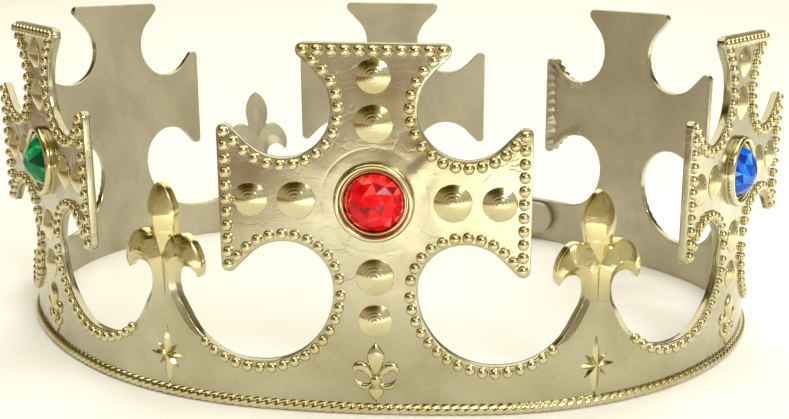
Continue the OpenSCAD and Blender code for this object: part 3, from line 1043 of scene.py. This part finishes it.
def inner_gold(name):
    """The duller inner face."""
    m = Nodes(bpy.data.materials.new(name))
    cloud = m.noise(m.strip((1, 0.7, 1)), 0.05, 4, 0.55, 0.5)
    fine = m.noise(m.strip(), 1.4, 4, 0.6)
    tone = m.ramp(m.share(cloud, fine, 0.75), [(0.36, srgb(172, 165, 142)), (0.64, srgb(198, 191, 168))])
    m.set(Base_Color=tone, Metallic=0.75, Roughness=m.span(m.noise(m.strip(), 0.3, 4), 0.3, 0.7, 0.4, 0.54))
    drawn = m.noise(m.strip((0.3, 1, 1)), 0.7, 3)
    grain = m.noise(m.strip(), 3.5, 2)
    m.set(Normal=bumped(m, [(cloud, 1.0, 0.5), (drawn, 1.0, 0.05), (grain, 1.0, 0.012)]))
    return m.owner


def gem_with_painted_glints(name, seed, deep, body, bright, pale):
    """Cut plastic over foil, with its sparkle painted: each facet shows its own tone, broken by painted
    reflections of what lies behind it; the lighter tones are painted highlights and glints.
    """
    m = Nodes(bpy.data.materials.new(name))
    own = m.add("ShaderNodeAttribute", attribute_name="facet").outputs["Fac"]
    behind = m.strip((1, 1, 0.7), (seed, seed * 0.37, 0))
    patch = m.add("ShaderNodeTexVoronoi", {"Vector": behind, "Scale": 0.42, "Randomness": 0.85})
    key = m.add("ShaderNodeSeparateColor", {0: patch.outputs["Color"]}).outputs[0]
    # Deep and body tones, then the painted highlight and painted glint tones
    stops = [(0.16, deep), (0.4, body), (0.6, body), (0.72, bright), (0.9, pale)]
    m.set(Base_Color=m.ramp(m.share(own, key, 0.72), stops), Roughness=0.07, Metallic=0.0)
    m.set(IOR=1.5, Specular_IOR_Level=0.28)
    return m.owner


# Roughness range, then the waves', hairlines' and grain's depth in millimetres
PLATE_FINISH = ((0.12, 0.22), 1.3, 0.022, 0.01)
PLATE_TONES = (srgb(184, 180, 154), srgb(166, 160, 128))
LILY_TONES = (srgb(214, 204, 156), srgb(198, 183, 122))
PLATE = gold("plate_gold", *PLATE_TONES, *PLATE_FINISH)
RELIEF = gold("relief_gold", srgb(212, 205, 170), srgb(196, 185, 138), (0.08, 0.18), 0.25, 0.0, 0.008)
LILY = gold("lily_gold", *LILY_TONES, *PLATE_FINISH, PLATE_TONES)
INNER = inner_gold("inner_gold")
# Each stone's pattern seed, then its deep and body tones, then its painted highlight and painted glint tones
GEM_TONES_AND_GLINTS = {
    "red": (3.0, (130, 4, 18), (206, 0, 14), (240, 30, 36), (250, 110, 100)),
    "blue": (8.0, (4, 40, 150), (4, 86, 214), (30, 128, 240), (90, 175, 255)),
    "green": (5.0, (0, 52, 30), (0, 122, 68), (24, 160, 94), (130, 215, 165)),
}
GEMS = {}
for colour, (seed, *tones) in GEM_TONES_AND_GLINTS.items():
    GEMS[colour] = gem_with_painted_glints(colour + "_stone", seed, *[srgb(*tone) for tone in tones])
STONE_COLOURS = dict(zip(CROSSES, ("red", "blue", "green", "red", "blue", "green")))

# --- Pieces ---


def done(piece, body, nodes):
    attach(piece, body)
    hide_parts(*nodes)


def done_relief(batch, name, node, sharp=34):
    done(batch.piece(name, RELIEF, sharp), STRIP, [node])


STRIP = "crown_strip"
for name, arc in CROSSES.items():
    cross = strip_piece("moulded_cross_" + name, 2 * arc + 1, [PLATE, INNER])
    done(cross, STRIP, ["cross_" + name])
for name, arc in LILIES.items():
    lily = strip_piece("moulded_lily_" + name, 2 * arc + 1, [LILY, INNER])
    done(lily, STRIP, ["lily_" + name])
for name, arc in {**CROSSES, **LILIES}.items():
    band = strip_piece("moulded_band_" + name, 2 * arc, [PLATE, INNER])
    done(band, STRIP, ["band_" + name])


def bend_at_hinge(piece, nodes):
    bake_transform(piece)
    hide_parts(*nodes)


bend_at_hinge(strip_piece("moulded_flap", 2 * CLOSURE, [PLATE, INNER]), ["closure_flap"])

# The path of the beads along a cross's notch: straight, round and straight again
NOTCH_PATH_R = NOTCH_R + TIP_R
BEAD_LINE = math.sqrt(2) * (CORNER_W - NOTCH_AT - NOTCH_PATH_R / math.sqrt(2))
HALF_NOTCH = BEAD_LINE + NOTCH_PATH_R * math.pi / 2
END_BEADS = round(2 * CORNER_U / BEAD_PITCH)
NOTCH_BEADS = round(2 * HALF_NOTCH / BEAD_PITCH)
NOTCH_STEP = 2 * HALF_NOTCH / NOTCH_BEADS
LOWER_BEADS = math.floor((2 * HALF_NOTCH - BEAD_LINE - NOTCH_PATH_R * math.pi / 4) / NOTCH_STEP)


def bead_point(s):
    if s < BEAD_LINE:
        return CORNER_U - s / math.sqrt(2), CORNER_W - s / math.sqrt(2)
    a = math.radians(135) + (s - BEAD_LINE) / NOTCH_PATH_R
    if a > math.radians(315):
        x, y = bead_point(2 * HALF_NOTCH - s)
        return y, x
    return NOTCH_AT + NOTCH_PATH_R * math.cos(a), NOTCH_AT + NOTCH_PATH_R * math.sin(a)


for name, arc in CROSSES.items():
    beads = Batch()
    s0 = station_s(arc)
    spots = []
    for i in range(END_BEADS + 1):
        u = CORNER_U * (2 * i / END_BEADS - 1)
        spots += [(u, CORNER_W), (CORNER_W, u), (-CORNER_W, u)]
    for side in (1, -1):
        for i in range(1, NOTCH_BEADS):
            u, w = bead_point(i * NOTCH_STEP)
            spots.append((side * u, w))
        for i in range(1, LOWER_BEADS + 1):
            u, w = bead_point(i * NOTCH_STEP)
            spots.append((side * w, -u))
    for u, w in spots:
        beads.add(arc, s0 + u, CROSS_HEIGHT + w, BEAD)
    done_relief(beads, "bead_rows_" + name, "beads_" + name)

    domes = Batch()
    for at, r in DOMES:
        for u, w in ((0, at), (0, -at), (at, 0), (-at, 0)):
            domes.add(arc, s0 + u, CROSS_HEIGHT + w, dome_shape(r))
    done_relief(domes, "dome_set_" + name, "domes_" + name, 50)

    ring = Batch()
    ring.add(arc, s0, CROSS_HEIGHT, SETTING)
    done_relief(ring, "setting_ring_" + name, "setting_" + name, 40)

    stone = Batch()
    stone.add(arc, s0, CROSS_HEIGHT, cut_stone())
    colour = STONE_COLOURS[name]
    cut = stone.piece("cut_stone_" + name, GEMS[colour], 1)
    # A random value per facet picks its tone and its painted reflection
    facet_glint_picks = np.random.default_rng(17 + arc).random(len(cut.data.polygons))
    cut.data.attributes.new("facet", "FLOAT", "FACE").data.foreach_set("value", facet_glint_picks.astype(np.float32))
    done(cut, STRIP, ["stone_" + name])

LAST_BEAD, LAST_BEAD_AT_CLOSURE = 138, 90
beads = Batch()
for arc in CROSSES.values():
    for side in (-1, 1):
        at_closure = (arc, side) in CLOSURE_SIDES
        r = (CLOSURE_OPENING_R if at_closure else OPENING_R) + TIP_R
        last = LAST_BEAD_AT_CLOSURE if at_closure else LAST_BEAD
        step = math.degrees(BEAD_PITCH / r)
        for a in np.radians(np.arange(step / 2, last + 1e-6, step)):
            s = station_s(arc) + side * (ARM_WAIST - TIP_R + r * (1 - math.cos(a)))
            beads.add(min(int(arc_of(s)), CLOSURE - 1), s, OPENING_V - r * math.sin(a), BEAD)
done_relief(beads, "band_bead_rows", "band_beads")

STAR_V = 10.0
stars = Batch()
for arc in LILIES.values():
    for shape, turn in star_shapes():
        stars.add(arc, station_s(arc), STAR_V, shape, turn)
done_relief(stars, "star_reliefs", "stars", 25)

feet = Batch()
for arc in CROSSES.values():
    for shape in foot_lily_shapes():
        feet.add(arc, station_s(arc), 0.0, shape)
done_relief(feet, "foot_lily_reliefs", "foot_lilies", 50)


def rope_piece(name, from_s, to_s):
    batch = Batch()
    pts, rope_faces = rope(from_s, to_s)
    owners = np.where(pts[:, 0] > PAST_SEAM, CLOSURE, np.minimum(arc_of(pts[:, 0]), CLOSURE - 1))
    batch.add(owners, 0.0, 0.0, (pts, rope_faces))
    return batch.piece(name, RELIEF, 60)


done(rope_piece("roped_edge", 0.0, FLAP_SEAM), STRIP, ["rope_edge"])
bend_at_hinge(rope_piece("flap_roped_edge", FLAP_SEAM, FLAP_END - 1.2), ["flap_rope"])

PEG = lathe([(1.6, 0), (1.6, 2.6), (1.75, 3.0), (1.75, 3.4), (1.5, 3.8), (1.1, 4.0), (0, 4.0)], 32)
# The pegs stand on the inner face, so the shape is turned over
peg_inward = (PEG[0] * [1, 1, -1] - [0, 0, WALL], [tuple(reversed(f)) for f in PEG[1]])
pegs = Batch()
for s in PEG_AT:
    pegs.add(CLOSURE, CLOSURE * HALF_BAY + s, TONGUE_V, peg_inward)
done(pegs.piece("flap_peg_pair", INNER, 40), "outer_end", ["flap_pegs"])

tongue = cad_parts["closure_tongue"]
tongue.data.materials.clear()
tongue.data.materials.append(INNER)

# --- Floor, light and camera ---

floor_mesh = bpy.data.meshes.new("floor")
floor_mesh.from_pydata([(-6, -6, 0), (6, -6, 0), (6, 12, 0), (-6, 12, 0)], [], [(0, 1, 2, 3)])
floor = bpy.data.objects.new("floor", floor_mesh)
scene.collection.objects.link(floor)
paper = Nodes(bpy.data.materials.new("paper"))
where = paper.add("ShaderNodeTexCoord").outputs["Object"]
# The floor is pale, with painted shade: a dimmer warm patch painted into its colour to the front and left,
# which the outer faces mirror as shade
shade = paper.vector("DOT_PRODUCT", where, (-0.85, -0.53, 0), "Value")
reach = paper.vector("LENGTH", where, output="Value")
near = paper.span(reach, 0.55, 1.0, 1.0, 0.0, "SMOOTHSTEP")
fall = paper.maths("MULTIPLY", paper.span(shade, 0.15, 0.3, kind="SMOOTHSTEP"), near)
paper.set(Base_Color=paper.ramp(fall, [(0.0, (0.93, 0.93, 0.925)), (1.0, srgb(146, 112, 96))]), Roughness=0.9)
floor_mesh.materials.append(paper.owner)

world = bpy.data.worlds.new("room")
scene.world = world
room = Nodes(world)
way = room.add("ShaderNodeTexCoord").outputs["Generated"]
up_down = room.add("ShaderNodeSeparateXYZ", {0: way}).outputs[2]
patches = room.noise(way, 1.9, 2, 0.5, 0.4)
uneven = room.maths("MULTIPLY", room.maths("SUBTRACT", patches, 0.5), 0.3)
level = room.maths("ADD", room.span(up_down, -1.0, 1.0), uneven)
# Bands of tone from the floor up, on the dim side of the room and on the side of its window
DIM = [
    (0.0, srgb(190, 180, 160)), (0.5, srgb(222, 214, 192)), (0.62, srgb(214, 200, 150)),
    (0.72, srgb(134, 114, 56)), (0.8, srgb(58, 46, 12)), (0.9, srgb(210, 190, 110)),
]
BRIGHT = [
    (0.0, srgb(220, 214, 200)), (0.5, srgb(240, 236, 222)), (0.62, srgb(255, 252, 240)),
    (0.8, srgb(255, 246, 200)), (1.0, srgb(250, 236, 170)),
]
window = room.vector("DOT_PRODUCT", way, (0.78, -0.62, 0.1), "Value")
towards = room.span(window, 0.45, 0.92, kind="SMOOTHSTEP")
background = world.node_tree.nodes["Background"]
both = room.mix(towards, room.ramp(level, DIM), room.ramp(level, BRIGHT))
world.node_tree.links.new(both, background.inputs["Color"])
background.inputs["Strength"].default_value = 0.75


def hang(lamp, place, target, power, colour):
    """Puts a lamp in its place and points it at its target."""
    lamp.energy = power
    lamp.color = colour
    holder = bpy.data.objects.new(lamp.name, lamp)
    holder.location = place
    holder.rotation_euler = (Vector(target) - Vector(place)).to_track_quat("-Z", "Y").to_euler()
    scene.collection.objects.link(holder)
    return holder


def area(name, place, target, size, power, colour=(1, 1, 1)):
    lamp = bpy.data.lights.new(name, "AREA")
    lamp.shape = "RECTANGLE"
    lamp.size, lamp.size_y = size
    return hang(lamp, place, target, power, colour)


def spot(name, place, target, power, size):
    lamp = bpy.data.lights.new(name, "SPOT")
    lamp.spot_size = math.radians(size)
    lamp.spot_blend = 0.8
    lamp.shadow_soft_size = 0.05
    hang(lamp, place, target, power, (1, 0.99, 0.95))


area("key", (0.42, -0.75, 0.62), (0.05, -0.2, 0), (0.3, 0.3), 3.6, (1, 0.98, 0.94))
spot("glow", (0.3, -0.5, 0.5), (0.1, -0.345, 0), 52, 30)
spot("side_glow", (0.62, -0.12, 0.5), (0.3, 0.02, 0), 20, 30)
front = area("front", (0.05, -1.0, 0.95), (0, 0, 0.05), (0.9, 0.5), 4.2)
front.visible_glossy = False
area("top", (0, 0.5, 1.6), (0, 0.5, 0), (2.4, 2.4), 24)
area("far", (0, 3.2, 1.8), (0, 2.6, 0), (4.0, 2.0), 42)

camera_data = bpy.data.cameras.new("camera")
camera_data.sensor_width = 36
camera_data.lens = 48.9
camera_data.shift_x = -0.0883
camera_data.shift_y = -0.002
camera_data.clip_start = 0.01
camera = bpy.data.objects.new("camera", camera_data)
right = Vector((0.9987, 0.0492, 0.0101))
forward = Vector((-0.0454, 0.9712, -0.234))
up = right.cross(forward)
turn = Matrix((right, up, -forward)).transposed().to_4x4()
camera.matrix_world = Matrix.Translation((0.03928, -0.30974, 0.10215)) @ turn
scene.collection.objects.link(camera)
scene.camera = camera
scene.view_settings.view_transform = "Standard"
